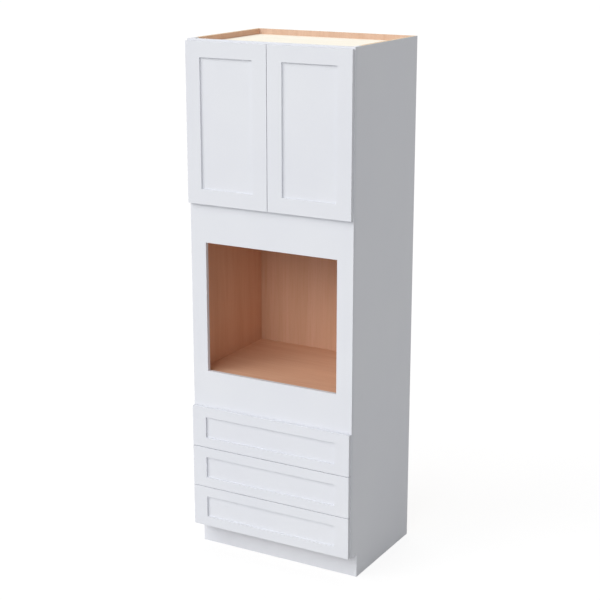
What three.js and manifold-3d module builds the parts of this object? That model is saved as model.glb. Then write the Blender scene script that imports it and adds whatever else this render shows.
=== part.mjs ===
// Tall oven housing unit: a framed kitchen cabinet 33 in wide, 24 in deep and 96 in high.
// From the floor up it has a recessed toe kick, three drawers, an open bay for a wall oven,
// and a cupboard behind two doors. Fronts are painted shaker frames with loose panels.
//
// Millimetres, +Z up, -Y to the front, +X to the right. While it is built, y = 0 is the front of
// the face frame; the last lines move the origin to the middle of the footprint.
import * as THREE from 'three';
import { mergeVertices } from 'three/addons/utils/BufferGeometryUtils.js';
import Module from 'manifold-3d';

const wasm = await Module();
wasm.setup();

// ---------------------------------------------------------------- driving dimensions

// Whole unit
const unitWidth = 838.2;
const unitHeight = 2438.4;
const unitDepth = 609.6; // face frame and carcass, without doors and drawer fronts

// Sheet stock and joinery
const sideThick = 19.05;
const deckThick = 12.7;
const ovenDeckThick = 19.05;
const backThick = 6.35;
const hangingRailThick = 12.7;
const hangingRailHeight = 101.6;
const toeBoardThick = 12.7;
const grooveDepth = 6.35;
const grooveHeight = 12.7; // in a side panel; a thicker board is rebated on top to fit it
const fitGap = 0.3; // side play of a board in its groove

// Toe kick
const toeHeight = 114.3;
const toeRecess = 63.5;

// Face frame
const frameThick = 19.05;
const stileWidth = 38.1;
const railHeight = 38.1;

// Oven bay
const ovenOpeningWidth = 680;
const ovenOpeningBottom = 901;
const ovenOpeningTop = 1518.5;
const ovenDeckDrop = 7; // deck surface below the edge of the opening

// Doors and drawer fronts, which lie over the face frame
const frontThick = 19.05;
const bumperGap = 2; // between a closed front and the frame
const sideReveal = 2;
const endReveal = 8.5; // above the doors and below the bottom drawer front
const frontGap = 3; // between neighbouring fronts
const doorBottom = 1700;
const drawersTop = 724;
const doorMember = 73; // width of a door's stiles and rails, and of a drawer front's stiles
const doorRail = 70;
const drawerRail = 47.6;
const panelRecess = 9.5;
const panelThick = 6.35;
const panelGroove = 10;
const panelPlay = 0.8; // a loose panel stops short of the bottom of its groove
const railOverlap = 19; // how far a front covers the rails above and below it
const deckOverlap = 31.5; // how far the doors cover the rail under them

// Cupboard shelf and its supports
const shelfThick = 19.05;
const shelfHeight = 2066; // underside
const shelfSetback = 28;
const shelfEndPlay = 1.2;
const pinHole = 5; // diameter
const pinHoleDepth = 9;
const pinPitch = 32;
const pinHoleRows = 7;
const pinSetback = 64; // from the frame's back, and from the back panel
const spoonLength = 8.5;
const spoonSize = 7;
const spoonThick = 5;
const spoonNose = 2.5; // corner radius in plan

// Drawer boxes and their runners
const boxSideThick = 15;
const boxHeight = 114.3;
const boxRearClearance = 59.15; // behind a closed drawer, which leaves a box 21 in long
const boxSidePlay = 5; // between the box and the frame's stile
const boxLift = 14; // from the rail's top edge to the box
const boxBottomThick = 6.35;
const boxBottomLift = 12.7; // recess under the bottom, which hides the runner
const boxGroove = 7;
const steel = 1.5;
const trackFlange = 28;
const trackLift = 3;
const trackHeadWidth = 10;
const runnerWidth = 15;
const runnerLip = 3.6;
const runnerPlay = 0.9;
const runnerInset = 1.9; // between the box side and its runner
const runnerSetback = 2; // from the box's front and rear faces
const trackFront = 1; // from the frame's face to the track's flange

// Concealed hinges, in plan: u runs inwards from the stile's inner edge, v forward from the frame
const cupCentre = -12.3;
const cupDiameter = 35;
const cupDepth = 11.5;
const cupWall = 1.3;
const cupFillet = 3;
const cupRim = 1.8; // how far the rim lies over the door round the bore
const cupBorePlay = 0.3;
const hingeInset = 95; // from a door's end to its hinge
const framePivot = { u: 9.7, v: -7.8 };
const cupPivot = { u: -20.8, v: 6.9 };
const armBend = { u: -6.8, v: 10.3 };
const armThick = 2;
const armHeight = 10;
const eyeRadius = 3;
const pinRadius = 1.25;
const pinPlay = 0.35;
const earThick = 2.4;
const earBack = 2; // slope of an ear's rear edge
const plateHeight = 44;
const plateThick = 2;
const plateCorner = 3;
const plateReach = 9; // length of the plate on the stile's edge
const flangeHeight = 52; // over the screw eyes above and below the cup
const flangeWidth = 14;
const flangeThick = 1.2;
const armSlotPlay = 1.3; // above and below the arm where it passes the rim

// ---------------------------------------------------------------- sizes that follow

const outerX = unitWidth / 2;
const innerX = outerX - sideThick;
const grooveX = innerX + grooveDepth;
const frameEdgeX = outerX - stileWidth;
const frontX = outerX - sideReveal;
const ovenX = ovenOpeningWidth / 2;
const backFace = unitDepth - hangingRailThick - backThick; // inner face of the back panel
const frontBack = -bumperGap; // back of a closed front
const frontFace = frontBack - frontThick;
const railTopBottom = unitHeight - railHeight; // lower edge of the top rail
const bottomRailTop = toeHeight + railHeight;
const ovenRailBottom = drawersTop - railOverlap;
const cupboardFloor = doorBottom + deckOverlap;
const ovenFloor = ovenOpeningBottom - ovenDeckDrop;
const doorTop = unitHeight - endReveal;
const drawersBottom = toeHeight + endReveal;
const drawerPitch = (drawersTop - drawersBottom + frontGap) / 3;

// ---------------------------------------------------------------- shapes and solids

// Rounds to a micron, so that faces meant to meet lie on exactly the same plane.
function settled(geometry) {
  const position = geometry.getAttribute('position');
  for (let i = 0; i < position.array.length; i += 1) {
    position.array[i] = Math.round(position.array[i] * 1000) / 1000;
  }
  return geometry;
}

// Leaves out the triangles that are shrunk to a line at the pole of a turned shape.
function wholeTriangles(index) {
  const triangles = [];
  for (let i = 0; i < index.length; i += 3) {
    const [a, b, c] = index.slice(i, i + 3);
    if (a !== b && b !== c && c !== a) triangles.push(a, b, c);
  }
  return new Uint32Array(triangles);
}

function solid(geometry) {
  const bare = geometry.index ? geometry.toNonIndexed() : geometry.clone();
  bare.deleteAttribute('normal');
  bare.deleteAttribute('uv');
  const merged = mergeVertices(settled(bare), 1e-4);
  return new wasm.Manifold(new wasm.Mesh({
    numProp: 3,
    vertProperties: merged.getAttribute('position').array,
    triVerts: wholeTriangles(merged.index.array),
  }));
}

function geometryOf(manifold) {
  const mesh = manifold.getMesh();
  const geometry = new THREE.BufferGeometry();
  const position = new Float32Array(mesh.vertProperties);
  geometry.setAttribute('position', new THREE.BufferAttribute(position, 3));
  geometry.setIndex(new THREE.BufferAttribute(new Uint32Array(mesh.triVerts), 1));
  return geometry;
}

const overrun = 1; // how far a cutter runs past the face that it opens
const join = (...solids) => solids.reduce((whole, next) => whole.add(next));
const cut = (whole, ...tools) => tools.reduce((rest, tool) => rest.subtract(tool), whole);

// A rectangular block from three [low, high] spans.
function block(x, y, z) {
  const geometry = new THREE.BoxGeometry(1, 1, 1);
  const position = geometry.getAttribute('position');
  for (let i = 0; i < position.count; i += 1) {
    position.setXYZ(
      i,
      position.getX(i) < 0 ? x[0] : x[1],
      position.getY(i) < 0 ? y[0] : y[1],
      position.getZ(i) < 0 ? z[0] : z[1],
    );
  }
  return solid(geometry);
}

const outline = (points) => new THREE.Shape(points.map(([a, b]) => new THREE.Vector2(a, b)));
const rectangle = (a, b) => [[a[0], b[0]], [a[1], b[0]], [a[1], b[1]], [a[0], b[1]]];

// A rectangle from two spans, with its corners rounded.
function rounded(a, b, radius) {
  const centres = [
    [a[1] - radius, b[0] + radius],
    [a[1] - radius, b[1] - radius],
    [a[0] + radius, b[1] - radius],
    [a[0] + radius, b[0] + radius],
  ];
  const shape = new THREE.Shape();
  for (const [corner, [p, q]] of centres.entries()) {
    const start = (corner - 1) * Math.PI / 2;
    shape.absarc(p, q, radius, start, start + Math.PI / 2);
  }
  return shape;
}

// Extrudes a shape drawn in (y, z) along X, in (x, z) along Y, or in (x, y) along Z.
function extruded(shape, axis, span, curveSegments = 8) {
  const depth = span[1] - span[0];
  const geometry = new THREE.ExtrudeGeometry(shape, { depth, bevelEnabled: false, curveSegments });
  const [x, y, z] = [0, 1, 2].map((i) => new THREE.Vector3().setComponent(i, 1));
  const turns = {
    x: new THREE.Matrix4().makeBasis(y, z, x),
    y: new THREE.Matrix4().makeBasis(x, z, y.clone().negate()),
    z: new THREE.Matrix4(),
  };
  geometry.applyMatrix4(turns[axis]);
  const start = { x: [span[0], 0, 0], y: [0, span[1], 0], z: [0, 0, span[0]] }[axis];
  geometry.translate(...start);
  return solid(geometry);
}

// A round bar along an axis, centred on the other two coordinates.
function rod(axis, centre, span, radius, sides = 24) {
  const circle = new THREE.Shape().absarc(...centre, radius, 0, Math.PI * 2);
  return extruded(circle, axis, span, sides);
}

// A profile of radius and height, turned about an upright axis and laid along Y through (x, z).
function turned(profile, [x, z], y, sides = 32) {
  const geometry = new THREE.LatheGeometry(profile.getPoints(2), sides);
  geometry.translate(x, y, z);
  return solid(geometry);
}

// A span on one side of the unit: side is -1 on the left and 1 on the right.
const onSide = (side, near, far) => (side < 0 ? [-far, -near] : [near, far]);
const sides = [['left', -1], ['right', 1]];

// ---------------------------------------------------------------- finishes

const finish = (color, roughness, metalness = 0) => (
  new THREE.MeshStandardMaterial({ color, roughness, metalness })
);
const whitePaint = finish(0xe3e4ea, 0.45);
const mapleVeneer = finish(0xc98f6c, 0.6);
const birchPlywood = finish(0xdcb993, 0.6);
const zincSteel = finish(0xb9bcc0, 0.35, 0.9);
const nickelPlate = finish(0xc9c7c2, 0.3, 1);

const unit = new THREE.Group();

function add(name, body, material) {
  const mesh = new THREE.Mesh(geometryOf(body), material);
  mesh.name = name;
  unit.add(mesh);
}

// ---------------------------------------------------------------- carcass

// Boards let into grooves in the side panels, each given by its top surface.
const boardDepth = [frameThick, backFace];
const topPanelTop = railTopBottom + deckThick;
const boards = [
  ['top_panel', topPanelTop, deckThick],
  ['cupboard_deck', cupboardFloor, deckThick],
  ['oven_deck', ovenFloor, ovenDeckThick],
  ['bottom_panel', bottomRailTop, deckThick],
];

// Height of the tongue at each end of a board.
const tongueSpan = (top, thick) => [top - thick, top - thick + Math.min(thick, grooveHeight)];

for (const [name, top, thick] of boards) {
  const end = grooveX - fitGap;
  const board = block([-innerX, innerX], boardDepth, [top - thick, top]);
  const tongues = block([-end, end], boardDepth, tongueSpan(top, thick));
  add(name, join(board, tongues), mapleVeneer);
}

function sidePanel(side) {
  const profile = outline([
    [toeRecess, 0],
    [unitDepth, 0],
    [unitDepth, unitHeight],
    [frameThick, unitHeight],
    [frameThick, toeHeight],
    [toeRecess, toeHeight],
  ]);
  const depthwise = onSide(side, innerX, grooveX);
  const grooves = boards.map(([, top, thick]) => {
    const [low, high] = tongueSpan(top, thick);
    return block(depthwise, boardDepth, [low, high + fitGap]);
  });
  const backGroove = block(depthwise, [backFace, backFace + backThick + fitGap], [0, unitHeight]);
  const rows = Array.from({ length: pinHoleRows }, (_, row) => (
    shelfHeight + (row - (pinHoleRows - 1) / 2) * pinPitch
  ));
  const columns = [frameThick + pinSetback, backFace - pinSetback];
  const holes = [];
  const spoons = [];
  for (const y of columns) {
    for (const z of rows) {
      if (z === shelfHeight) {
        const reach = onSide(side, innerX - spoonLength, innerX + pinHoleDepth / 2);
        const width = [y - spoonSize / 2, y + spoonSize / 2];
        spoons.push(extruded(rounded(reach, width, spoonNose), 'z', [z - spoonThick, z], 3));
      } else {
        const reach = onSide(side, innerX - overrun, innerX + pinHoleDepth);
        const centre = [y, z - spoonThick / 2];
        holes.push(rod('x', centre, reach, pinHole / 2, 5));
      }
    }
  }
  const panel = extruded(profile, 'x', onSide(side, innerX, outerX));
  return join(cut(panel, join(backGroove, ...grooves), ...holes), ...spoons);
}

for (const [name, side] of sides) {
  add(`side_panel_${name}`, sidePanel(side), whitePaint);
}

const backEnd = grooveX - fitGap;
const backDepth = [backFace, backFace + backThick];
add('back_panel', block([-backEnd, backEnd], backDepth, [0, unitHeight]), mapleVeneer);

const railBack = [backFace + backThick + fitGap, unitDepth];
add(
  'hanging_rail',
  block([-innerX, innerX], railBack, [unitHeight - hangingRailHeight, unitHeight]),
  birchPlywood,
);

const toeBoardTop = bottomRailTop - deckThick;
add(
  'toe_kick_board',
  block([-innerX, innerX], [toeRecess, toeRecess + toeBoardThick], [0, toeBoardTop]),
  whitePaint,
);

// ---------------------------------------------------------------- face frame

const frameDepth = [0, frameThick];

for (const [name, side] of sides) {
  const stile = block(onSide(side, frameEdgeX, outerX), frameDepth, [toeHeight, unitHeight]);
  add(`frame_stile_${name}`, stile, whitePaint);
  const trim = block(onSide(side, ovenX, frameEdgeX), frameDepth, [ovenOpeningBottom, ovenOpeningTop]);
  add(`oven_trim_stile_${name}`, trim, whitePaint);
}

const drawerGap = (index) => drawersBottom + index * drawerPitch - frontGap / 2;
const rails = [
  ['frame_bottom_rail', toeHeight, bottomRailTop],
  ['drawer_rail_lower', drawerGap(1) - railHeight / 2, drawerGap(1) + railHeight / 2],
  ['drawer_rail_upper', drawerGap(2) - railHeight / 2, drawerGap(2) + railHeight / 2],
  ['oven_rail_lower', ovenRailBottom, ovenOpeningBottom],
  ['oven_rail_upper', ovenOpeningTop, cupboardFloor],
  ['frame_top_rail', railTopBottom, unitHeight],
];

for (const [name, bottom, top] of rails) {
  add(name, block([-frameEdgeX, frameEdgeX], frameDepth, [bottom, top]), whitePaint);
}

// ---------------------------------------------------------------- shelf

const shelfEnd = innerX - shelfEndPlay;
add(
  'cupboard_shelf',
  block(
    [-shelfEnd, shelfEnd],
    [frameThick + shelfSetback, backFace - shelfEndPlay],
    [shelfHeight, shelfHeight + shelfThick],
  ),
  mapleVeneer,
);

// ---------------------------------------------------------------- shaker fronts

// Stiles and rails glued up as one frame, grooved inside for a loose panel.
function shakerFront(x, z, rail) {
  const depth = [frontFace, frontBack];
  const openX = [x[0] + doorMember, x[1] - doorMember];
  const openZ = [z[0] + rail, z[1] - rail];
  const shape = outline(rectangle(x, z));
  shape.holes.push(outline(rectangle(openX, openZ)));
  const grown = (span, by) => [span[0] - by, span[1] + by];
  const panelFace = frontFace + panelRecess;
  const groove = block(
    grown(openX, panelGroove),
    [panelFace, panelFace + panelThick + fitGap],
    grown(openZ, panelGroove),
  );
  const tongue = panelGroove - panelPlay;
  const panel = block(grown(openX, tongue), [panelFace, panelFace + panelThick], grown(openZ, tongue));
  return { frame: cut(extruded(shape, 'y', depth), groove), panel };
}

// ---------------------------------------------------------------- doors on concealed hinges

// Turns a plan point of the hinge drawing into x and y on one side of the unit.
const planPoint = (side, { u, v }) => [side * (frameEdgeX - u), -v];

// A pressed cup with a rim and two screw eyes that lie on the door, and a pin across it for the arm.
// The rim is notched on both sides, where the arm passes it with the door shut and wide open.
function hingeCup(side, z) {
  const [x] = planPoint(side, { u: cupCentre, v: 0 });
  const radius = cupDiameter / 2;
  const inner = radius - cupWall;
  const innerFillet = cupFillet - cupWall;
  const quarter = Math.PI / 2;
  const profile = new THREE.Path()
    .moveTo(0, 0)
    .lineTo(radius - cupFillet, 0)
    .absarc(radius - cupFillet, cupFillet, cupFillet, -quarter, 0)
    .lineTo(radius, cupDepth)
    .lineTo(radius + cupRim, cupDepth)
    .lineTo(radius + cupRim, cupDepth + flangeThick)
    .lineTo(inner, cupDepth + flangeThick)
    .absarc(inner - innerFillet, cupFillet, innerFillet, 0, -quarter, true)
    .lineTo(0, cupWall);
  const mouth = frontBack;
  const shell = turned(profile, [x, z], mouth - cupDepth);
  const eyes = extruded(
    rounded(
      [x - flangeWidth / 2, x + flangeWidth / 2],
      [z - flangeHeight / 2, z + flangeHeight / 2],
      flangeWidth / 2,
    ),
    'y',
    [mouth, mouth + flangeThick],
    6,
  );
  const above = [mouth, mouth + flangeThick + overrun];
  const bore = rod('y', [x, z], above, inner, 32);
  const across = radius + cupRim + overrun;
  const slotHalf = armHeight / 2 + armSlotPlay;
  const slot = block([x - across, x + across], above, [z - slotHalf, z + slotHalf]);
  const pinReach = Math.sqrt((radius - cupWall / 2) ** 2 - (cupCentre - cupPivot.u) ** 2);
  const pin = rod('z', planPoint(side, cupPivot), [z - pinReach, z + pinReach], pinRadius, 12);
  return join(cut(join(shell, cut(eyes, bore)), slot), pin);
}

// The bent arm that swings between the pivot on the frame and the pivot in the cup.
function hingeArm(side, z) {
  const height = [z - armHeight / 2, z + armHeight / 2];
  const ends = [framePivot, armBend, cupPivot].map((p) => new THREE.Vector2(...planPoint(side, p)));
  const path = new THREE.Path().moveTo(ends[0].x, ends[0].y);
  const nearBend = (from) => ends[1].clone().lerp(from, armThick * 2 / ends[1].distanceTo(from));
  path.lineTo(...nearBend(ends[0]));
  path.quadraticCurveTo(ends[1].x, ends[1].y, ...nearBend(ends[2]));
  path.lineTo(ends[2].x, ends[2].y);
  const points = path.getPoints(5);
  const offset = (distance) => points.map((point, i) => {
    const before = points[Math.max(i - 1, 0)];
    const after = points[Math.min(i + 1, points.length - 1)];
    const along = after.clone().sub(before).normalize();
    return [point.x - along.y * distance, point.y + along.x * distance];
  });
  const strip = outline([...offset(armThick / 2), ...offset(-armThick / 2).reverse()]);
  const eyes = [framePivot, cupPivot].map((p) => rod('z', planPoint(side, p), height, eyeRadius, 20));
  const through = [height[0] - overrun, height[1] + overrun];
  const holes = [framePivot, cupPivot].map((p) => (
    rod('z', planPoint(side, p), through, pinRadius + pinPlay, 12)
  ));
  return cut(join(extruded(strip, 'z', height), ...eyes), ...holes);
}

// A plate screwed to the inner edge of the stile, with two ears that hold the arm's pin.
function hingePlate(side, z) {
  const face = rounded(
    [frameThick - plateReach, frameThick],
    [z - plateHeight / 2, z + plateHeight / 2],
    plateCorner,
  );
  const base = extruded(face, 'x', onSide(side, frameEdgeX - plateThick, frameEdgeX), 3);
  const ear = outline([
    [0, -frameThick],
    [framePivot.u + eyeRadius, earBack - frameThick],
    [framePivot.u + eyeRadius, framePivot.v],
    [framePivot.u, framePivot.v + eyeRadius],
    [0, framePivot.v + eyeRadius / 2],
  ].map(([u, v]) => planPoint(side, { u, v })));
  const inner = armHeight / 2 + pinPlay;
  const ears = [-1, 1].map((end) => (
    extruded(ear, 'z', end < 0 ? [z - inner - earThick, z - inner] : [z + inner, z + inner + earThick])
  ));
  const pinReach = inner + earThick / 2;
  const pin = rod('z', planPoint(side, framePivot), [z - pinReach, z + pinReach], pinRadius, 12);
  return join(base, ...ears, pin);
}

for (const [name, side] of sides) {
  const z = [doorBottom, doorTop];
  const { frame, panel } = shakerFront(onSide(side, frontGap / 2, frontX), z, doorRail);
  const hinges = [['lower', z[0] + hingeInset], ['upper', z[1] - hingeInset]];
  const bores = hinges.map(([, height]) => {
    const [x] = planPoint(side, { u: cupCentre, v: 0 });
    const depth = [frontBack - cupDepth - cupBorePlay, frontBack + overrun];
    return rod('y', [x, height], depth, cupDiameter / 2 + cupBorePlay, 32);
  });
  add(`door_${name}_frame`, cut(frame, ...bores), whitePaint);
  add(`door_${name}_panel`, panel, whitePaint);
  for (const [level, height] of hinges) {
    add(`hinge_${name}_${level}_cup`, hingeCup(side, height), nickelPlate);
    add(`hinge_${name}_${level}_arm`, hingeArm(side, height), nickelPlate);
    add(`hinge_${name}_${level}_plate`, hingePlate(side, height), nickelPlate);
  }
}

// ---------------------------------------------------------------- drawers on hidden runners

const boxX = frameEdgeX - boxSidePlay;
const boxInnerX = boxX - boxSideThick;
const boxEnd = backFace - boxRearClearance;
const runnerX = boxInnerX - runnerInset - runnerWidth / 2; // middle of a runner
const notchX = runnerX - runnerWidth / 2 - runnerInset;

// Four dovetailed sides, grooved for the bottom and notched at the back for the runners.
function drawerBox(floor) {
  const z = [floor, floor + boxHeight];
  const shell = block([-boxX, boxX], [frontBack, boxEnd], z);
  const inside = [frontBack + boxSideThick, boxEnd - boxSideThick];
  const hollow = block([-boxInnerX, boxInnerX], inside, [z[0] - overrun, z[1] + overrun]);
  const grooveEnd = boxInnerX + boxGroove;
  const lift = z[0] + boxBottomLift;
  const groove = block(
    [-grooveEnd, grooveEnd],
    [inside[0] - boxGroove, inside[1] + boxGroove],
    [lift, lift + boxBottomThick + fitGap],
  );
  const rearWall = [inside[1] - overrun, boxEnd + overrun];
  const notches = sides.map(([, side]) => (
    block(onSide(side, notchX, boxInnerX), rearWall, [z[0] - overrun, lift])
  ));
  return cut(shell, hollow, groove, ...notches);
}

function drawerBottom(floor) {
  const end = boxInnerX + boxGroove - panelPlay;
  const reach = boxGroove - panelPlay;
  const y = [frontBack + boxSideThick - reach, boxEnd - boxSideThick + reach];
  const lift = floor + boxBottomLift;
  return block([-end, end], y, [lift, lift + boxBottomThick]);
}

const runnerFront = frontBack + boxSideThick + runnerSetback;
const runnerRear = boxEnd - runnerSetback;
const headTop = boxLift + boxBottomLift - steel - runnerPlay; // above the rail's top edge

// The fixed member: a flange on the stile, a foot under the box side, and a headed rail.
function drawerTrack(side, sill) {
  const z0 = sill + trackLift;
  const foot = [z0, z0 + steel];
  const stem = [runnerX - steel / 2, runnerX + steel / 2];
  const head = [runnerX - trackHeadWidth / 2, runnerX + trackHeadWidth / 2];
  const headZ = [sill + headTop - steel, sill + headTop];
  const footX = runnerX - runnerWidth / 2;
  const section = (span, height, y) => block(onSide(side, ...span), y, height);
  const full = [trackFront, backFace - steel];
  const rail = [runnerFront, backFace - steel];
  return join(
    section([frameEdgeX - steel, frameEdgeX], [z0, z0 + trackFlange], full),
    section([footX, frameEdgeX], foot, full),
    section(stem, [z0, headZ[1]], rail),
    section(head, headZ, rail),
    section([footX, frameEdgeX], [z0, z0 + trackFlange], [backFace - steel, backFace]),
  );
}

// The moving member: a lipped channel under the drawer bottom that hangs on the headed rail.
function drawerRunner(side, sill) {
  const top = sill + boxLift + boxBottomLift;
  const low = sill + headTop - steel - runnerPlay - steel;
  const half = runnerWidth / 2;
  const section = (span, height) => (
    block(onSide(side, ...span), [runnerFront, runnerRear], height)
  );
  return join(
    section([runnerX - half, runnerX + half], [top - steel, top]),
    section([runnerX - half, runnerX - half + steel], [low, top]),
    section([runnerX + half - steel, runnerX + half], [low, top]),
    section([runnerX - half, runnerX - half + runnerLip], [low, low + steel]),
    section([runnerX + half - runnerLip, runnerX + half], [low, low + steel]),
  );
}

const sills = [bottomRailTop, rails[1][2], rails[2][2]];
for (const [index, level] of ['bottom', 'middle', 'top'].entries()) {
  const low = drawersBottom + index * drawerPitch;
  const z = [low, low + drawerPitch - frontGap];
  const { frame, panel } = shakerFront([-frontX, frontX], z, drawerRail);
  const floor = sills[index] + boxLift;
  add(`drawer_${level}_front_frame`, frame, whitePaint);
  add(`drawer_${level}_front_panel`, panel, whitePaint);
  add(`drawer_${level}_box`, drawerBox(floor), birchPlywood);
  add(`drawer_${level}_box_bottom`, drawerBottom(floor), birchPlywood);
  for (const [name, side] of sides) {
    add(`drawer_${level}_track_${name}`, drawerTrack(side, sills[index]), zincSteel);
    add(`drawer_${level}_runner_${name}`, drawerRunner(side, sills[index]), zincSteel);
  }
}

// The origin goes to the middle of the footprint, on the floor.
unit.position.y = -(unitDepth + frontFace) / 2;

const ovenHousing = new THREE.Group();
ovenHousing.add(unit);

export default ovenHousing;
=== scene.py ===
import math

import bmesh
import bpy
from mathutils import Matrix, Vector


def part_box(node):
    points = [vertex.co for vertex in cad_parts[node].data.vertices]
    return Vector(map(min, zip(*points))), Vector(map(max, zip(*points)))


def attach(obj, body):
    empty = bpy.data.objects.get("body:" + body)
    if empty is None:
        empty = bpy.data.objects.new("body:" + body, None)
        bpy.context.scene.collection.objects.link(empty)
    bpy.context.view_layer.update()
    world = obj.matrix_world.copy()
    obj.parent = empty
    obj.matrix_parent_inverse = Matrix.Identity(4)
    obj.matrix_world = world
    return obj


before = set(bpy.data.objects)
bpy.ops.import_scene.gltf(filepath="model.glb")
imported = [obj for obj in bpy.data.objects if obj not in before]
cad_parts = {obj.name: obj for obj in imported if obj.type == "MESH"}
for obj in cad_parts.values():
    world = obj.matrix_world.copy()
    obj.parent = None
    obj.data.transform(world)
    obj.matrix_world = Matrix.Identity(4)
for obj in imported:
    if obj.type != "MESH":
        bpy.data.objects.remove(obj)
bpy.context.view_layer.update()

# Tall oven housing unit, in metres: the cabinet stands on the floor with its front towards -Y.
# The script goes through it as it is put together, from the carcass to the drawers, after the studio.


# ---------------------------------------------------------------------------------------------------
# Studio. A pale floor under even light from all round, with soft lamps in front, high on the left and
# high behind, and the camera where the photograph was taken from. None of it is the cabinet's.

CAMERA_AZIMUTH = math.radians(29.40)  # from straight ahead, round to the cabinet's right side
CAMERA_ELEVATION = math.radians(15.44)
CAMERA_DISTANCE = 6.746
CAMERA_LENS = 86.1  # mm
CAMERA_SENSOR = 36  # mm
VIEW_DEPTH = 200  # past the far edge of the floor
AIM_RIGHT = -0.0173
AIM_BEHIND_FRAME = 0.3048
AIM_HEIGHT = 1.2162

camera_data = bpy.data.cameras.new("camera")
camera_data.lens = CAMERA_LENS
camera_data.sensor_width = CAMERA_SENSOR
camera_data.clip_end = VIEW_DEPTH
camera = bpy.data.objects.new("camera", camera_data)
bpy.context.scene.collection.objects.link(camera)
bpy.context.scene.camera = camera
towards_camera = Vector((
    math.sin(CAMERA_AZIMUTH) * math.cos(CAMERA_ELEVATION),
    -math.cos(CAMERA_AZIMUTH) * math.cos(CAMERA_ELEVATION),
    math.sin(CAMERA_ELEVATION),
))
frame_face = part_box("frame_stile_left")[0].y  # front of the face frame
aim = Vector((AIM_RIGHT, frame_face + AIM_BEHIND_FRAME, AIM_HEIGHT))
camera.location = aim + towards_camera * CAMERA_DISTANCE
camera.rotation_euler = (-towards_camera).to_track_quat("-Z", "Y").to_euler()

bpy.context.scene.view_settings.view_transform = "Standard"


def linear(hex_colour):
    """Turns an sRGB hex colour into the linear colour that a shader takes."""
    channels = [int(hex_colour[i:i + 2], 16) / 255 for i in (1, 3, 5)]
    return [c / 12.92 if c <= 0.04045 else ((c + 0.055) / 1.055) ** 2.4 for c in channels] + [1.0]


def add_node(tree, kind, inputs=None, **settings):
    """Adds a node. An input is a number, a hex colour, or the socket or the node that feeds it."""
    new = tree.nodes.new(kind)
    for name, value in settings.items():
        setattr(new, name, value)
    for key, value in (inputs or {}).items():
        if isinstance(key, str):
            socket = next(way_in for way_in in new.inputs if way_in.enabled and way_in.name == key)
        else:
            socket = new.inputs[key]
        if isinstance(value, bpy.types.Node):
            value = next(way_out for way_out in value.outputs if way_out.enabled)
        if isinstance(value, bpy.types.NodeSocket):
            tree.links.new(value, socket)
        else:
            socket.default_value = linear(value) if isinstance(value, str) else value
    return new


def lamp(name, energy, spread, place):
    """A distant lamp as wide as spread, shining from place towards the middle of the scene."""
    data = bpy.data.lights.new(name, "SUN")
    data.energy = energy
    data.angle = math.radians(spread)
    holder = bpy.data.objects.new(name, data)
    bpy.context.scene.collection.objects.link(holder)
    holder.rotation_euler = (-Vector(place)).to_track_quat("-Z", "Y").to_euler()


lamp("front_lamp", 0.90, 30, (0.08, -1.0, 0.46))
lamp("left_lamp", 1.43, 42, (-0.56, -0.72, 0.72))
lamp("back_lamp", 0.76, 50, (-0.15, 0.5, 0.9))


def seen_rays(tree):
    """1 for what the camera sees, also in metal and through glass, and 0 for what lights the scene."""
    rays = add_node(tree, "ShaderNodeLightPath").outputs
    kinds = {0: rays["Is Camera Ray"], 1: rays["Is Glossy Ray"]}
    seen = add_node(tree, "ShaderNodeMath", kinds, operation="MAXIMUM")
    kinds = {0: seen, 1: rays["Is Transmission Ray"]}
    return add_node(tree, "ShaderNodeMath", kinds, operation="MAXIMUM")


AMBIENT = 0.345  # strength of the even light from all round, which the camera sees as white

world = bpy.data.worlds.new("white_studio")
bpy.context.scene.world = world
world.use_nodes = True
tree = world.node_tree
tree.nodes.clear()
strength = add_node(tree, "ShaderNodeMapRange", {"Value": seen_rays(tree), "To Min": AMBIENT, "To Max": 1.0})
sky = add_node(tree, "ShaderNodeBackground", {"Color": "#FFFFFF", "Strength": strength})
add_node(tree, "ShaderNodeOutputWorld", {"Surface": sky})

# Matt pale grey floor. The camera sees most of it as plain white, so the shadow on it stays faint.
FLOOR_SIZE = 120.0
FLOOR_GREY = "#C8C8C8"
FLOOR_SHADE = 0.35  # share of the floor's own light and shade that the camera sees
FLOOR_WHITE = 1.29  # strength of the plain white in the rest

matt_floor = bpy.data.materials.new("matt_pale_floor")
matt_floor.use_nodes = True
tree = matt_floor.node_tree
tree.nodes.clear()
share = {0: seen_rays(tree), 1: 1 - FLOOR_SHADE}
white_share = add_node(tree, "ShaderNodeMath", share, operation="MULTIPLY")
paper = add_node(tree, "ShaderNodeBsdfDiffuse", {"Color": FLOOR_GREY})
plain_white = add_node(tree, "ShaderNodeEmission", {"Color": "#FFFFFF", "Strength": FLOOR_WHITE})
mixed = add_node(tree, "ShaderNodeMixShader", {0: white_share, 1: paper, 2: plain_white})
add_node(tree, "ShaderNodeOutputMaterial", {"Surface": mixed})

floor_mesh = bpy.data.meshes.new("studio_floor")
builder = bmesh.new()
bmesh.ops.create_grid(builder, x_segments=1, y_segments=1, size=FLOOR_SIZE / 2)
builder.to_mesh(floor_mesh)
builder.free()
floor_mesh.materials.append(matt_floor)
floor = bpy.data.objects.new("studio_floor", floor_mesh)
bpy.context.scene.collection.objects.link(floor)


# ---------------------------------------------------------------------------------------------------
# Side panels. 19 mm maple plywood, clear coated inside, sprayed white outside and on the recess of
# the toe kick. They are grooved for the boards and the back, and bored for the shelf supports.

MM = 0.001
SANDED = 0.4 * MM  # radius of a sanded plywood edge
WELD_REACH = 0.005 * MM
FLAT = math.radians(0.5)  # faces that meet at less than this are one flat face
ARRIS = math.radians(40)  # an edge that turns more than this is rounded


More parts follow.
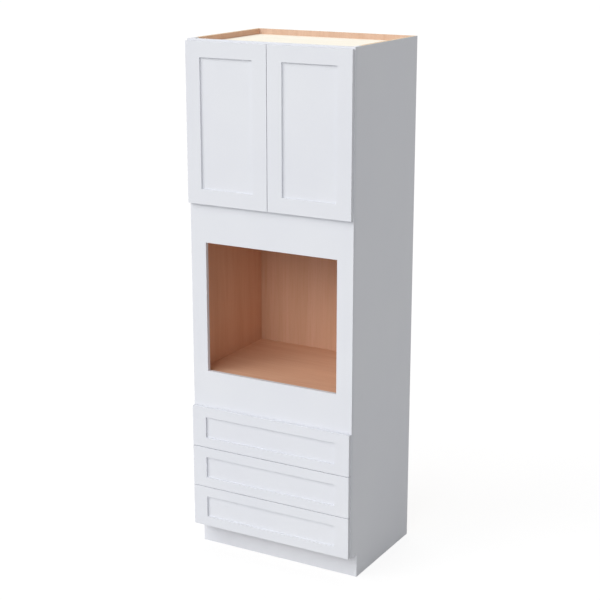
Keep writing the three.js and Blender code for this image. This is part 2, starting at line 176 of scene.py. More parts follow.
def ease(piece, radius):
    """Rounds a piece's arrises as sanding does. The CAD mesh is loose triangles, so it is welded first."""
    weld = piece.modifiers.new("weld", "WELD")
    weld.merge_threshold = WELD_REACH
    flat = piece.modifiers.new("flat faces", "DECIMATE")
    flat.decimate_type = "DISSOLVE"
    flat.angle_limit = FLAT
    rounding = piece.modifiers.new("eased edges", "BEVEL")
    rounding.width = radius
    rounding.segments = 2
    rounding.limit_method = "ANGLE"
    rounding.angle_limit = ARRIS


def dress(name, material, radius=SANDED):
    """Gives a CAD node its finish and eased edges."""
    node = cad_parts[name]
    node.material_slots[0].link = "OBJECT"
    node.material_slots[0].material = material
    ease(node, radius)
    return node


def new_material(name):
    """Starts a material, whose patterns read the object's own coordinates."""
    material = bpy.data.materials.new(name)
    material.use_nodes = True
    tree = material.node_tree
    tree.nodes.clear()
    return material, tree, add_node(tree, "ShaderNodeTexCoord").outputs["Object"]


# Figure of sliced maple: broad leaves, fine fibres, and short flecks that are drawn wider than real, so
# that they show from a few steps away. Each has the width, length, detail and waviness of its streaks.
LEAF = (55 * MM, 900 * MM, 2, 0.6)
FIBRE = (5 * MM, 220 * MM, 3, 0)
FLECK = (2.2 * MM, 16 * MM, 1, 0)
STREAK_COARSENESS = 0.55
LEAF_SHOWS = (0.35, 0.68, 1)  # noise at which its colour starts, and is full, and its share when full
FIBRE_SHOWS = (0.5, 0.8, 0.55)
FLECK_SHOWS = (0.64, 0.8, 0.35)
FIBRE_RANGE = (0.3, 0.75)  # noise between which the roughness rises
COAT_ROUGHNESS = (0.42, 0.56)
GRAIN_RELIEF = 0.03 * MM
WOOD_IOR = 1.5


def streaks(tree, place, grain, across, along, detail, waviness=0):
    """Noise drawn out along the grain: its streaks are across wide and along long, in metres."""
    scale = [1 / along if axis == grain else 1 / across for axis in "XYZ"]
    laid = add_node(tree, "ShaderNodeMapping", {"Vector": place, "Scale": scale})
    return add_node(tree, "ShaderNodeTexNoise", {
        "Vector": laid,
        "Scale": 1.0,
        "Detail": detail,
        "Roughness": STREAK_COARSENESS,
        "Distortion": waviness,
    })


def maple_face(tree, place, grain, tones):
    """Colour, roughness and height of a maple face. The tones are of its pale, middle and dark streaks."""
    pale, tone, dark = tones
    leaf, fibre, fleck = [streaks(tree, place, grain, *figure) for figure in (LEAF, FIBRE, FLECK)]
    layers = ((leaf, LEAF_SHOWS, pale), (fibre, FIBRE_SHOWS, dark), (fleck, FLECK_SHOWS, dark))
    for figure, (start, full, most), colour in layers:
        share = add_node(tree, "ShaderNodeMapRange", {
            "Value": figure,
            "From Min": start,
            "From Max": full,
            "To Max": most,
        })
        tone = add_node(tree, "ShaderNodeMix", {"Factor": share, "A": tone, "B": colour}, data_type="RGBA")
    roughness = add_node(tree, "ShaderNodeMapRange", {
        "Value": fibre,
        "From Min": FIBRE_RANGE[0],
        "From Max": FIBRE_RANGE[1],
        "To Min": COAT_ROUGHNESS[0],
        "To Max": COAT_ROUGHNESS[1],
    })
    return tone, roughness, fibre


# Catalysed white lacquer, sprayed satin: a cool white whose sheen and tone change slowly over a face,
# with a faint orange peel that only shows where it mirrors the lamp.
LACQUER = "#E5E7EC"
LACQUER_THIN = "#E2E4EA"
CLOUDS = 2.2  # slow changes in a metre
CLOUD_EDGES = (0.35, 0.65)  # noise between which the tone changes
NOISE_LOW = 0.3  # noise seldom leaves the range between these two
NOISE_HIGH = 0.7
LACQUER_ROUGHNESS = (0.50, 0.58)
LACQUER_SPECULAR = 0.06  # a flattened sheen, weaker than bare lacquer's
LACQUER_IOR = 1.48
PEEL_SIZE = 3 * MM
PEEL_HEIGHT = 0.02 * MM


def lacquer_face(tree, place):
    """Colour, roughness and height of the sprayed lacquer."""
    cloud = add_node(tree, "ShaderNodeTexNoise", {"Vector": place, "Scale": CLOUDS, "Detail": 2.0})
    peel = add_node(tree, "ShaderNodeTexNoise", {"Vector": place, "Scale": 1 / PEEL_SIZE, "Detail": 1.0})
    thick = add_node(tree, "ShaderNodeMapRange", {
        "Value": cloud,
        "From Min": CLOUD_EDGES[0],
        "From Max": CLOUD_EDGES[1],
    })
    tones = {"Factor": thick, "A": LACQUER_THIN, "B": LACQUER}
    colour = add_node(tree, "ShaderNodeMix", tones, data_type="RGBA")
    roughness = add_node(tree, "ShaderNodeMapRange", {
        "Value": cloud,
        "From Min": NOISE_LOW,
        "From Max": NOISE_HIGH,
        "To Min": LACQUER_ROUGHNESS[0],
        "To Max": LACQUER_ROUGHNESS[1],
    })
    return colour, roughness, peel


white_lacquer, tree, place = new_material("catalysed_white_lacquer")
colour, roughness, peel = lacquer_face(tree, place)
relief = add_node(tree, "ShaderNodeBump", {"Height": peel, "Distance": PEEL_HEIGHT, "Strength": 1.0})
shader = add_node(tree, "ShaderNodeBsdfPrincipled", {
    "Base Color": colour,
    "Roughness": roughness,
    "Normal": relief,
    "IOR": LACQUER_IOR,
    "Specular IOR Level": LACQUER_SPECULAR,
})
add_node(tree, "ShaderNodeOutputMaterial", {"Surface": shader})

# The inner face is clear coated maple veneer: even, pinkish tan, with a fine straight grain.
SIDE_MAPLE = ("#E2B699", "#DCAD8E", "#CE9773")

# Raw plywood edge: thin birch plies, each turned a quarter round from the next, pale and dark by turns.
PLY_PALE = "#EAD2AE"
PLY_DARK = "#C9A379"
PLY_THICK = 1.41 * MM
PLY_EDGES = (0.85, 1.15)  # share of a ply's thickness over which one tone turns into the other

# Shelf supports: nickel plated steel spoons, whose flat ends stand out of the inner face.
SUPPORT_STEEL = "#C6C3BC"
SUPPORT_ROUGHNESS = 0.3

SKIN = 0.35 * MM  # depth of a surface finish at a board's faces
NOTCH_SKIN = 0.1 * MM  # the same behind the edge of the toe kick's notch
inner_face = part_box("hanging_rail")[1].x  # the rail fits between the side panels
notch_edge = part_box("toe_kick_board")[0].y


def side_panel_finish(name, outer_x, low, high):
    """Maple inside, lacquer outside, bare plies on the rear, top and bottom edges, nickel supports."""
    material, tree, place = new_material(name)
    axes = add_node(tree, "ShaderNodeSeparateXYZ", {"Vector": place}).outputs
    wood, wood_roughness, fibre = maple_face(tree, place, "Z", SIDE_MAPLE)
    paint, paint_roughness, _ = lacquer_face(tree, place)

    # Each region is what lies past a plane across one axis.
    side = 1 if outer_x > 0 else -1
    outwards = "GREATER_THAN" if side > 0 else "LESS_THAN"
    inwards = "LESS_THAN" if side > 0 else "GREATER_THAN"
    planes = (
        ("X", outwards, outer_x - side * SKIN),
        ("Y", "LESS_THAN", notch_edge + NOTCH_SKIN),
        ("Z", "GREATER_THAN", high.z - SKIN),
        ("Z", "LESS_THAN", low.z + SKIN),
        ("Y", "GREATER_THAN", high.y - SKIN),
        ("X", inwards, side * (inner_face - SKIN)),
    )
    outside, toe, upper, lower, rear, support = [
        add_node(tree, "ShaderNodeMath", {0: axes[axis], 1: limit}, operation=past)
        for axis, past, limit in planes
    ]
    painted = add_node(tree, "ShaderNodeMath", {0: outside, 1: toe}, operation="MAXIMUM")
    ends = add_node(tree, "ShaderNodeMath", {0: upper, 1: lower}, operation="MAXIMUM")
    sawn = add_node(tree, "ShaderNodeMath", {0: ends, 1: rear}, operation="MAXIMUM")

    depth = add_node(tree, "ShaderNodeMath", {0: axes["X"], 1: PLY_THICK}, operation="DIVIDE")
    turn = add_node(tree, "ShaderNodeMath", {0: depth, 1: 2.0}, operation="PINGPONG")
    crossed = add_node(tree, "ShaderNodeMapRange", {
        "Value": turn,
        "From Min": PLY_EDGES[0],
        "From Max": PLY_EDGES[1],
    })
    tones = {"Factor": crossed, "A": PLY_PALE, "B": PLY_DARK}
    plies = add_node(tree, "ShaderNodeMix", tones, data_type="RGBA")

    colour = wood
    for region, over in ((sawn, plies), (painted, paint), (support, SUPPORT_STEEL)):
        layer = {"Factor": region, "A": colour, "B": over}
        colour = add_node(tree, "ShaderNodeMix", layer, data_type="RGBA")
    roughness = wood_roughness
    for region, over in ((painted, paint_roughness), (support, SUPPORT_ROUGHNESS)):
        roughness = add_node(tree, "ShaderNodeMix", {"Factor": region, "A": roughness, "B": over})
    relief = add_node(tree, "ShaderNodeBump", {"Height": fibre, "Distance": GRAIN_RELIEF, "Strength": 1.0})
    shader = add_node(tree, "ShaderNodeBsdfPrincipled", {
        "Base Color": colour,
        "Roughness": roughness,
        "Metallic": support,
        "Normal": relief,
        "IOR": WOOD_IOR,
    })
    add_node(tree, "ShaderNodeOutputMaterial", {"Surface": shader})
    return material


for side in ("left", "right"):
    low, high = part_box("side_panel_" + side)
    outer = low.x if side == "left" else high.x
    finish = side_panel_finish(f"plywood_painted_outside_{side}", outer, low, high)
    dress("side_panel_" + side, finish)


# ---------------------------------------------------------------------------------------------------
# Boards between the sides. Maple plywood, tongued into the grooves. The top panel is left raw and is
# drawn near white, paler than raw maple: pale wood with a painted highlight for the strong light on
# it from above. The others are from a leaf a shade paler than the sides'.

BOARD_MAPLE = ("#E8BC9E", "#E1B293", "#D39C77")
# The top's tones are near white: raw maple's pale colour with a painted highlight for the light on it.
RAW_MAPLE_WITH_PAINTED_HIGHLIGHT = ("#FFFBF0", "#FEF8E8", "#FBEFD8")
RAW_ROUGHNESS = 0.75


def wooden_board(name, grain, tones, roughness=None):
    """Wood with its grain along X, Y or Z, clear coated unless it has a roughness of its own."""
    material, tree, place = new_material(name)
    colour, coat_roughness, fibre = maple_face(tree, place, grain, tones)
    relief = add_node(tree, "ShaderNodeBump", {"Height": fibre, "Distance": GRAIN_RELIEF, "Strength": 1.0})
    shader = add_node(tree, "ShaderNodeBsdfPrincipled", {
        "Base Color": colour,
        "Roughness": roughness or coat_roughness,
        "Normal": relief,
        "IOR": WOOD_IOR,
    })
    add_node(tree, "ShaderNodeOutputMaterial", {"Surface": shader})
    return material


# The top panel's near-white colour includes a painted highlight for the light from above.
raw_top_with_painted_highlight = wooden_board("raw_maple_top_painted_highlight", "X", RAW_MAPLE_WITH_PAINTED_HIGHLIGHT, RAW_ROUGHNESS)
dress("top_panel", raw_top_with_painted_highlight)

maple_across = wooden_board("maple_veneer_across", "X", BOARD_MAPLE)
for name in ("cupboard_deck", "oven_deck", "bottom_panel"):
    dress(name, maple_across)


# ---------------------------------------------------------------------------------------------------
# Back panel and hanging rail. 6.35 mm maple plywood let into the sides' grooves, coated only inside the
# cabinet, and a birch rail glued behind it at the top, through which the unit is screwed to the wall.

BACK_MAPLE = ("#D9AE94", "#D2A689", "#C5916F")  # a leaf a shade darker than the sides'
ABOVE_TOP_MAPLE = ("#D6B59F", "#CEAB93", "#C1977B")  # paler and greyer tones for the face above the top panel
BACKING_VENEER = ("#E8D3B6", "#E0C8A6", "#D2B38C")
UNCOATED_ROUGHNESS = 0.7

half_coated, tree, place = new_material("maple_plywood_coated_inside")
axes = add_node(tree, "ShaderNodeSeparateXYZ", {"Vector": place}).outputs
coated, coat_roughness, fibre = maple_face(tree, place, "Z", BACK_MAPLE)
above_top_tone = maple_face(tree, place, "Z", ABOVE_TOP_MAPLE)[0]
backing = maple_face(tree, place, "Z", BACKING_VENEER)[0]
past_top = {0: axes["Z"], 1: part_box("top_panel")[1].z}
above = add_node(tree, "ShaderNodeMath", past_top, operation="GREATER_THAN")
past_rear = {0: axes["Y"], 1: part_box("back_panel")[1].y - SKIN}
behind = add_node(tree, "ShaderNodeMath", past_rear, operation="GREATER_THAN")
uncoated = add_node(tree, "ShaderNodeMath", {0: above, 1: behind}, operation="MAXIMUM")
inner = add_node(tree, "ShaderNodeMix", {"Factor": above, "A": coated, "B": above_top_tone}, data_type="RGBA")
colour = add_node(tree, "ShaderNodeMix", {"Factor": behind, "A": inner, "B": backing}, data_type="RGBA")
sheens = {"Factor": uncoated, "A": coat_roughness, "B": UNCOATED_ROUGHNESS}
roughness = add_node(tree, "ShaderNodeMix", sheens)
relief = add_node(tree, "ShaderNodeBump", {"Height": fibre, "Distance": GRAIN_RELIEF, "Strength": 1.0})
shader = add_node(tree, "ShaderNodeBsdfPrincipled", {
    "Base Color": colour,
    "Roughness": roughness,
    "Normal": relief,
    "IOR": WOOD_IOR,
})
add_node(tree, "ShaderNodeOutputMaterial", {"Surface": shader})
dress("back_panel", half_coated)

# Birch, clear lacquered: creamier than the maple, with the same fine figure.
BIRCH = ("#E6CDAA", "#DDBF97", "#C9A679")

birch_across = wooden_board("lacquered_birch_across", "X", BIRCH)
dress("hanging_rail", birch_across)


# ---------------------------------------------------------------------------------------------------
# Toe kick board. Plywood sprayed with the same white lacquer as the fronts, and set back between the
# notches of the sides, so that toes fit below the drawers.

dress("toe_kick_board", white_lacquer)


# ---------------------------------------------------------------------------------------------------
# Face frame. Solid maple stiles and rails, pocket screwed and glued, sprayed white as one. The joints
# are sanded flush, so only a hairline shows at each.

HAIRLINE = 0.2 * MM

frame_members = [
    "frame_stile_left", "frame_stile_right", "oven_trim_stile_left", "oven_trim_stile_right",
    "frame_bottom_rail", "drawer_rail_lower", "drawer_rail_upper", "oven_rail_lower", "oven_rail_upper",
    "frame_top_rail",
]
for name in frame_members:
    dress(name, white_lacquer, HAIRLINE)


# ---------------------------------------------------------------------------------------------------
# Cupboard shelf. Maple plywood from the same leaf as the boards, its edges taped with veneer. It lies
# loose on the four supports.

dress("cupboard_shelf", maple_across)


# ---------------------------------------------------------------------------------------------------
# Doors and drawer fronts. Shaker frames with loose flat panels, sprayed white on all sides. Their
# arrises are rounded a little more than the face frame's.

FRONT_ROUND = 0.5 * MM

fronts = ["door_left", "door_right", "drawer_bottom_front", "drawer_middle_front", "drawer_top_front"]
for name in fronts:
    dress(name + "_frame", white_lacquer, FRONT_ROUND)
    dress(name + "_panel", white_lacquer)


# ---------------------------------------------------------------------------------------------------
# Bumpers. Clear soft domes with a sticky back, behind the free corners of the doors and the corners of
# the drawer fronts. They keep the paint off the face frame.

BUMPER_RADIUS = 4.5 * MM
BUMPER_HEIGHT = 1.9 * MM
DOME_STEPS = (65, 40, 15)  # degrees above the rim
BUMPER_INSET = 12 * MM  # from a door's edges; less from the upper and lower edges of a drawer front
DRAWER_BUMPER_INSET = 9 * MM
TURN_STEPS = 20  # sides of a turned shape
MERGE_REACH = 0.001 * MM
SOFT_EDGE = math.radians(32)  # the facets of a curve meet at less than this


def turned(profile):
    """A shape turned about the Z axis from points of radius and height, from pole to pole."""
    builder = bmesh.new()
    points = [builder.verts.new((radius, 0, height)) for radius, height in profile]
    edges = [builder.edges.new(pair) for pair in zip(points, points[1:])]
    bmesh.ops.spin(
        builder,
        geom=points + edges,
        axis=(0, 0, 1),
        angle=2 * math.pi,
        steps=TURN_STEPS,
        use_merge=True,
    )
    bmesh.ops.remove_doubles(builder, verts=builder.verts, dist=MERGE_REACH)
    bmesh.ops.recalc_face_normals(builder, faces=builder.faces)
    builder.normal_update()
    return builder


def finished_mesh(name, builder, material):
    """Turns a bmesh into a mesh with one material, whose curves are shaded as curves."""
    for face in builder.faces:
        face.smooth = True
    for edge in builder.edges:
        edge.smooth = edge.calc_face_angle(0) < SOFT_EDGE
    mesh = bpy.data.meshes.new(name)
    builder.to_mesh(mesh)
    builder.free()
    mesh.materials.append(material)
    return mesh


def set_down(name, source, places, body):
    """One piece of copies of a small mesh. A place is a point and the way that the copy's +Z faces."""
    builder = bmesh.new()
    for point, facing in places:
        done = len(builder.verts)
        builder.from_mesh(source)
        turn = Vector((0, 0, 1)).rotation_difference(Vector(facing)).to_matrix().to_4x4()
        new = list(builder.verts)[done:]
        bmesh.ops.transform(builder, matrix=Matrix.Translation(point) @ turn, verts=new)
    piece = bpy.data.objects.new(name, finished_mesh(name, builder, source.materials[0]))
    bpy.context.scene.collection.objects.link(piece)
    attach(piece, body)


def mottled(tree, pattern, tones, roughness, constants):
    """Ends a material whose tone and roughness both follow one soft pattern."""
    shades = {"Factor": pattern, "A": tones[0], "B": tones[1]}
    colour = add_node(tree, "ShaderNodeMix", shades, data_type="RGBA")
    sheen = add_node(tree, "ShaderNodeMapRange", {
        "Value": pattern,
        "From Min": NOISE_LOW,
        "From Max": NOISE_HIGH,
        "To Min": roughness[0],
        "To Max": roughness[1],
    })
    surface = {"Base Color": colour, "Roughness": sheen}
    shader = add_node(tree, "ShaderNodeBsdfPrincipled", {**surface, **constants})
    add_node(tree, "ShaderNodeOutputMaterial", {"Surface": shader})


# Cast polyurethane: clear, but a dome this thin over white paint shows as milky, so it is drawn solid,
# a little cloudy from its matt skin.
HAZE_SIZE = 2 * MM
HAZE_TONES = ("#D6D8D8", "#E6E8E8")
HAZE_ROUGHNESS = (0.25, 0.4)
POLYURETHANE_IOR = 1.49

clear_polyurethane, tree, place = new_material("clear_cast_polyurethane")
haze = add_node(tree, "ShaderNodeTexNoise", {"Vector": place, "Scale": 1 / HAZE_SIZE, "Detail": 2.0})
mottled(tree, haze, HAZE_TONES, HAZE_ROUGHNESS, {"IOR": POLYURETHANE_IOR})

dome = [(0, BUMPER_HEIGHT)]
for degrees in DOME_STEPS:
    angle = math.radians(degrees)
    dome.append((BUMPER_RADIUS * math.cos(angle), BUMPER_HEIGHT * math.sin(angle)))
dome += [(BUMPER_RADIUS, 0), (0, 0)]
bumper = finished_mesh("bumper", turned(dome), clear_polyurethane)

for side in ("left", "right"):
    low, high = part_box(f"door_{side}_frame")
    x = high.x - BUMPER_INSET if side == "left" else low.x + BUMPER_INSET
    corners = [((x, high.y, z), (0, 1, 0)) for z in (low.z + BUMPER_INSET, high.z - BUMPER_INSET)]
    set_down(f"door_{side}_bumpers", bumper, corners, "door_" + side)

for level in ("bottom", "middle", "top"):
    low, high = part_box(f"drawer_{level}_front_frame")
    corners = [
        ((x, high.y, z), (0, 1, 0))
        for x in (low.x + BUMPER_INSET, high.x - BUMPER_INSET)
        for z in (low.z + DRAWER_BUMPER_INSET, high.z - DRAWER_BUMPER_INSET)
    ]
    set_down(f"drawer_{level}_bumpers", bumper, corners, "drawer_" + level)


# ---------------------------------------------------------------------------------------------------
# Concealed hinges. Nickel plated pressed steel: a cup let into the door, a bent arm and a plate with two
# ears on the stile. Each cup and each plate is held by two screws with crossed heads.

# Bright nickel on rolled steel: nearly a mirror, dulled by the fine lines left from rolling.
ROLLED_LINE = (0.5 * MM, 12 * MM, 2)  # width, length and detail
NICKEL_TONES = ("#D2CFC8", "#DEDBD5")
NICKEL_ROUGHNESS = (0.2, 0.3)

nickel, tree, place = new_material("nickel_plated_steel")
rolled = streaks(tree, place, "Z", *ROLLED_LINE)
mottled(tree, rolled, NICKEL_TONES, NICKEL_ROUGHNESS, {"Metallic": 1.0})

PRESSED_EDGE = 0.15 * MM  # radius of a burr-free edge on pressed steel

# The facets of pressed curves are shaded as the curves they stand for, and true edges stay sharp.
curve_shading = bpy.data.node_groups.new("curve_shading", "GeometryNodeTree")
curve_shading.interface.new_socket("Geometry", in_out="INPUT", socket_type="NodeSocketGeometry")
curve_shading.interface.new_socket("Geometry", in_out="OUTPUT", socket_type="NodeSocketGeometry")
shape = add_node(curve_shading, "NodeGroupInput")
fold = add_node(curve_shading, "GeometryNodeInputMeshEdgeAngle").outputs["Unsigned Angle"]
soft = add_node(curve_shading, "FunctionNodeCompare", {"A": fold, "B": SOFT_EDGE}, operation="LESS_THAN")
smooth = add_node(curve_shading, "GeometryNodeSetShadeSmooth", {"Geometry": shape})
soft_edges = {"Geometry": smooth, "Shade Smooth": soft}
edged = add_node(curve_shading, "GeometryNodeSetShadeSmooth", soft_edges, domain="EDGE")
add_node(curve_shading, "NodeGroupOutput", {"Geometry": edged})


def dress_pressed_part(name, material):
    """Gives a pressed steel part its finish, fine edges and smooth curves."""
    node = dress(name, material, PRESSED_EDGE)
    node.modifiers.new("curve shading", "NODES").node_group = curve_shading
    node.modifiers.new("weighted normals", "WEIGHTED_NORMAL").keep_sharp = True


for side in ("left", "right"):
    for level in ("lower", "upper"):
        for part in ("cup", "arm", "plate"):
            dress_pressed_part(f"hinge_{side}_{level}_{part}", nickel)

FLAT_HEAD = (3.2 * MM, 0.55 * MM)  # radius and height of a countersunk head over its seat
PAN_HEAD = (3.8 * MM, 1.7 * MM)
HEAD_PROFILE = ((0, 1), (0.8, 1), (0.95, 0.7), (1, 0.25), (1, 0), (0, 0))  # shares of radius and height
CROSS_WIDTH = 0.26  # of the head's radius, as is the reach
CROSS_REACH = 0.62
CROSS_DEPTH = 0.85  # of the head's height
FACING = 0.99  # least share of a face's normal that points the way it is said to face


def screw_head(name, radius, height, material):
    """A screw's head on the plane z = 0, with a cross recess almost as deep as the head is high."""
    builder = turned([(radius * across, height * up) for across, up in HEAD_PROFILE])
    top = [face for face in builder.faces if face.normal.z > FACING]
    bmesh.ops.dissolve_faces(builder, faces=top)
    for cut in (CROSS_WIDTH, CROSS_REACH):
        for axis in ((1, 0, 0), (-1, 0, 0), (0, 1, 0), (0, -1, 0)):
            top = [face for face in builder.faces if face.normal.z > FACING]
            touching = {part for face in top for part in (*face.edges, *face.verts)}
            bmesh.ops.bisect_plane(
                builder,
                geom=top + list(touching),
                plane_co=Vector(axis) * radius * cut,
                plane_no=axis,
            )
    builder.normal_update()
    cross = []
    for face in builder.faces:
        middle = face.calc_center_median()
        near, far = sorted((abs(middle.x), abs(middle.y)))
        if face.normal.z > FACING and near < radius * CROSS_WIDTH and far < radius * CROSS_REACH:
            cross.append(face)
    pressed = bmesh.ops.extrude_face_region(builder, geom=cross)["geom"]
    floor_points = [part for part in pressed if isinstance(part, bmesh.types.BMVert)]
    bmesh.ops.translate(builder, verts=floor_points, vec=(0, 0, -CROSS_DEPTH * height))
    bmesh.ops.delete(builder, geom=cross, context="FACES")
    bmesh.ops.recalc_face_normals(builder, faces=builder.faces)
    return finished_mesh(name, builder, material)


flat_screw = screw_head("countersunk_head", *FLAT_HEAD, nickel)

EYE_MIDDLE = 7 * MM  # from the end of a cup's screw eye
PLATE_SCREW = 15 * MM  # from the middle of a plate
PLATE_HALF_DEPTH = 4.5 * MM
PLATE_THICK = 2 * MM

plate_screws = []
for side, inwards in (("left", 1), ("right", -1)):
    cup_screws = []
    for level in ("lower", "upper"):
        low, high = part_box(f"hinge_{side}_{level}_cup")
        for z in (low.z + EYE_MIDDLE, high.z - EYE_MIDDLE):
            cup_screws.append((((low.x + high.x) / 2, high.y, z), (0, 1, 0)))
        low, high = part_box(f"hinge_{side}_{level}_plate")
        stile_edge = low.x if side == "left" else high.x
        for z in ((low.z + high.z) / 2 - PLATE_SCREW, (low.z + high.z) / 2 + PLATE_SCREW):
            seat = (stile_edge + inwards * PLATE_THICK, high.y - PLATE_HALF_DEPTH, z)
            plate_screws.append((seat, (inwards, 0, 0)))
    set_down(f"hinge_{side}_cup_screws", flat_screw, cup_screws, "door_" + side)
set_down("hinge_plate_screws", flat_screw, plate_screws, "cabinet")


# ---------------------------------------------------------------------------------------------------
# Drawer boxes. 15 mm birch sides dovetailed together, with a loose bottom, clear lacquered. Four screws
# from inside hold the front.

BOX_BOARD = 15 * MM
BOX_EDGE_ROUND = 1.5 * MM
TAIL_PITCH = 25.4 * MM
TAIL_START = 5 * MM  # half of a pin at the outer face
TAIL_LEAN = 0.14
GLUE_LINE = 0.35 * MM  # drawn wider than real, so that it shows
END_GRAIN = "#C49A69"
GLUE = "#A67A4C"


def dovetailed_birch(level):
    """Birch whose grain runs along each of a box's sides, with pins and tails drawn at its corners."""
    low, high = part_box(f"drawer_{level}_box")
    middle = (low.y + high.y) / 2
    material, tree, place = new_material(f"dovetailed_birch_{level}")
    along_side, side_roughness, side_fibre = maple_face(tree, place, "Y", BIRCH)
    along_end, end_roughness, end_fibre = maple_face(tree, place, "X", BIRCH)
    axes = add_node(tree, "ShaderNodeSeparateXYZ", {"Vector": place}).outputs

    # A pin is narrow at the outer face of the front and wider inside it, and the tails fill the rest.
    # Pins show their end grain on the outside of the sides, and tails on that of the front and back.
    found = {axis: axes[axis] for axis in "XYZ"}
    sums = (
        ("from middle", "SUBTRACT", "Y", middle),
        ("depth", "ABSOLUTE", "from middle"),
        ("across", "ABSOLUTE", "X"),
        ("from side", "SUBTRACT", high.x, "across"),
        ("from end", "SUBTRACT", high.y - middle, "depth"),
        ("height", "SUBTRACT", "Z", low.z),
        ("from pin", "PINGPONG", "height", TAIL_PITCH / 2),
        ("half pin", "MULTIPLY_ADD", "from end", TAIL_LEAN, TAIL_START),
        ("into tail", "SUBTRACT", "from pin", "half pin"),
        ("pin", "LESS_THAN", "into tail", 0),
        ("tail", "GREATER_THAN", "into tail", 0),
        ("from glue", "ABSOLUTE", "into tail"),
        ("glue", "LESS_THAN", "from glue", GLUE_LINE / 2),
        ("on side", "LESS_THAN", "from side", BOX_BOARD),
        ("near end", "LESS_THAN", "from end", BOX_BOARD),
        ("side skin", "LESS_THAN", "from side", SKIN),
        ("end skin", "LESS_THAN", "from end", SKIN),
        ("side corner", "MULTIPLY", "side skin", "near end"),
        ("end corner", "MULTIPLY", "end skin", "on side"),
        ("corner", "MAXIMUM", "side corner", "end corner"),
        ("pin end", "MULTIPLY", "side corner", "pin"),
        ("tail end", "MULTIPLY", "end corner", "tail"),
        ("end grain", "MAXIMUM", "pin end", "tail end"),
        ("joint line", "MULTIPLY", "corner", "glue"),
    )
    for name, operation, *values in sums:
        inputs = {i: found[value] if isinstance(value, str) else value for i, value in enumerate(values)}
        found[name] = add_node(tree, "ShaderNodeMath", inputs, operation=operation)

    colour = along_end
    layers = (("on side", along_side), ("end grain", END_GRAIN), ("joint line", GLUE))
    for region, over in layers:
        layer = {"Factor": found[region], "A": colour, "B": over}
        colour = add_node(tree, "ShaderNodeMix", layer, data_type="RGBA")
    on_side = found["on side"]
    roughness = add_node(tree, "ShaderNodeMix", {"Factor": on_side, "A": end_roughness, "B": side_roughness})
    fibre = add_node(tree, "ShaderNodeMix", {"Factor": on_side, "A": end_fibre, "B": side_fibre})
    relief = add_node(tree, "ShaderNodeBump", {"Height": fibre, "Distance": GRAIN_RELIEF, "Strength": 1.0})
    shader = add_node(tree, "ShaderNodeBsdfPrincipled", {
        "Base Color": colour,
        "Roughness": roughness,
        "Normal": relief,
        "IOR": WOOD_IOR,
    })
    add_node(tree, "ShaderNodeOutputMaterial", {"Surface": shader})
    return material


# Zinc plate, passivated: bluish grey with a soft spangle, duller than nickel.
SPANGLE_SIZE = 6 * MM
ZINC_TONES = ("#B4B9BE", "#C6CACE")
ZINC_ROUGHNESS = (0.3, 0.42)

zinc, tree, place = new_material("zinc_plated_steel")
spangle = add_node(tree, "ShaderNodeTexNoise", {"Vector": place, "Scale": 1 / SPANGLE_SIZE, "Detail": 3.0})
mottled(tree, spangle, ZINC_TONES, ZINC_ROUGHNESS, {"Metallic": 1.0})

pan_screw = screw_head("pan_head", *PAN_HEAD, zinc)
FRONT_SCREWS = (-0.28, -0.1, 0.1, 0.28)  # across the box, from its middle

for level in ("bottom", "middle", "top"):
    dress(f"drawer_{level}_box", dovetailed_birch(level), BOX_EDGE_ROUND)
    dress(f"drawer_{level}_box_bottom", birch_across)
    low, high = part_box(f"drawer_{level}_box")
    inside = low.y + BOX_BOARD
    places = [((x, inside, (low.z + high.z) / 2), (0, 1, 0)) for x in FRONT_SCREWS]
    set_down(f"drawer_{level}_front_screws", pan_screw, places, "drawer_" + level)


# ---------------------------------------------------------------------------------------------------
# Drawer runners. Rolled sheet steel, zinc plated: a track screwed to the stile and to the back panel,
# and a channel under the drawer that hangs on it.

TRACK_STEEL = 1.5 * MM
TRACK_SCREWS = (9 * MM, 21 * MM)  # above the track's lower edge
TRACK_SCREW_IN = 8 * MM  # from the track's front end, and from its flange at the rear

track_screws = []
for level in ("bottom", "middle", "top"):
    for side, inwards in (("left", 1), ("right", -1)):
        dress_pressed_part(f"drawer_{level}_track_{side}", zinc)
        dress_pressed_part(f"drawer_{level}_runner_{side}", zinc)
        low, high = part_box(f"drawer_{level}_track_{side}")
        flange = (low.x if side == "left" else high.x) + inwards * TRACK_STEEL
        for height in TRACK_SCREWS:
            track_screws.append(((flange, low.y + TRACK_SCREW_IN, low.z + height), (inwards, 0, 0)))
            rear = (flange + inwards * TRACK_SCREW_IN, high.y - TRACK_STEEL, low.z + height)
            track_screws.append((rear, (0, -1, 0)))
set_down("runner_screws", pan_screw, track_screws, "cabinet")


# ---------------------------------------------------------------------------------------------------
# Locking clips. Moulded grey acetal, screwed under the front corners of each drawer box. A hook holds the
# front end of the runner, and a squeeze of the lever frees it, so that the drawer lifts off.

CLIP_SIZE = (24 * MM, 46 * MM, 7 * MM)
CLIP_PLAY = 0.3 * MM  # between a clip and its runner
CLIP_ROUND = 0.5 * MM
HOOK_THICK = 1.6 * MM  # fits between the box's front and the end of the runner
HOOK_REACH = 9 * MM
LEVER_ENDS = (13 * MM, 37 * MM)  # from the clip's front end
LEVER_REACH = 13 * MM
LEVER_TAPER = (1.0, 0.72, 0.6)
CLIP_SCREWS = (7 * MM, 39 * MM)  # from the clip's front end

# Moulded acetal: even grey, satin from the mould, with the faintest cloudiness.
FLOW_SIZE = 4 * MM
ACETAL_TONES = ("#84878A", "#92959A")
ACETAL_ROUGHNESS = (0.38, 0.5)
ACETAL_IOR = 1.48

grey_acetal, tree, place = new_material("moulded_grey_acetal")
cloudy = add_node(tree, "ShaderNodeTexNoise", {"Vector": place, "Scale": 1 / FLOW_SIZE, "Detail": 2.0})
mottled(tree, cloudy, ACETAL_TONES, ACETAL_ROUGHNESS, {"IOR": ACETAL_IOR})


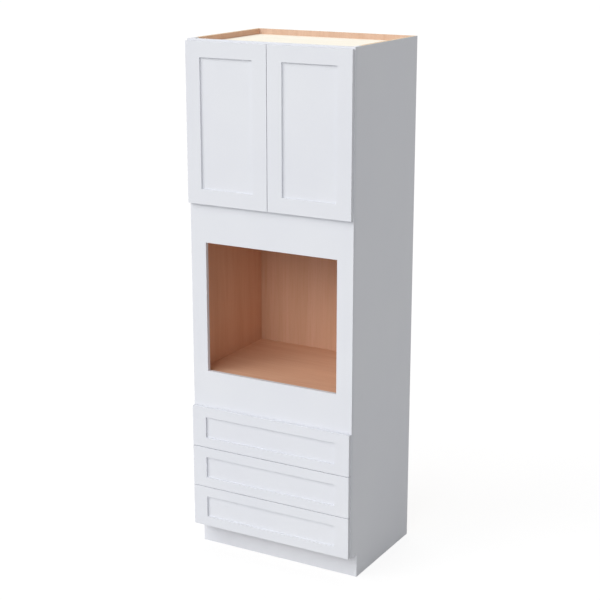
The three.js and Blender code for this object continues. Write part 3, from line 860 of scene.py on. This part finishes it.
def moulded_clip(name, inwards):
    """A clip whose top is on z = 0, its front end on y = 0 and its runner on x = 0."""
    builder = bmesh.new()
    bmesh.ops.create_cube(builder, size=1)
    bmesh.ops.translate(builder, vec=(0.5, 0.5, -0.5), verts=builder.verts)
    bmesh.ops.scale(builder, vec=CLIP_SIZE, verts=builder.verts)
    for cut in (HOOK_THICK, *LEVER_ENDS):
        everything = [*builder.verts, *builder.edges, *builder.faces]
        bmesh.ops.bisect_plane(builder, geom=everything, plane_co=(0, cut, 0), plane_no=(0, 1, 0))
    builder.normal_update()
    hook = []
    lever = []
    for face in builder.faces:
        from_front = face.calc_center_median().y
        if face.normal.x < -FACING and from_front < HOOK_THICK:
            hook.append(face)
        elif face.normal.x > FACING and LEVER_ENDS[0] < from_front < LEVER_ENDS[1]:
            lever.append(face)
    for faces, reach, taper in ((hook, -HOOK_REACH, (1, 1, 1)), (lever, LEVER_REACH, LEVER_TAPER)):
        drawn = bmesh.ops.extrude_face_region(builder, geom=faces)["geom"]
        ends = [part for part in drawn if isinstance(part, bmesh.types.BMVert)]
        middle = sum((end.co for end in ends), Vector()) / len(ends)
        bmesh.ops.scale(builder, vec=taper, space=Matrix.Translation(-middle), verts=ends)
        bmesh.ops.translate(builder, vec=(reach, 0, 0), verts=ends)
        bmesh.ops.delete(builder, geom=faces, context="FACES")
    bmesh.ops.dissolve_limit(builder, angle_limit=FLAT, verts=builder.verts, edges=builder.edges)
    bmesh.ops.bevel(
        builder,
        geom=list(builder.edges),
        offset=CLIP_ROUND,
        offset_type="OFFSET",
        affect="EDGES",
        segments=2,
        profile=0.5,
        material=-1,
    )
    bmesh.ops.scale(builder, vec=(inwards, 1, 1), verts=builder.verts)
    bmesh.ops.recalc_face_normals(builder, faces=builder.faces)
    return finished_mesh(name, builder, grey_acetal)


clips = {"left": moulded_clip("clip_left", 1), "right": moulded_clip("clip_right", -1)}
for level in ("bottom", "middle", "top"):
    front_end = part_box(f"drawer_{level}_box")[0].y + BOX_BOARD
    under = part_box(f"drawer_{level}_box_bottom")[0].z
    screws = []
    for side, inwards in (("left", 1), ("right", -1)):
        low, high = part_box(f"drawer_{level}_runner_{side}")
        x = (high.x if side == "left" else low.x) + inwards * CLIP_PLAY
        corner = [((x, front_end, under), (0, 0, 1))]
        set_down(f"drawer_{level}_clip_{side}", clips[side], corner, "drawer_" + level)
        for distance in CLIP_SCREWS:
            head = (x + inwards * CLIP_SIZE[0] / 2, front_end + distance, under - CLIP_SIZE[2])
            screws.append((head, (0, 0, -1)))
    set_down(f"drawer_{level}_clip_screws", pan_screw, screws, "drawer_" + level)
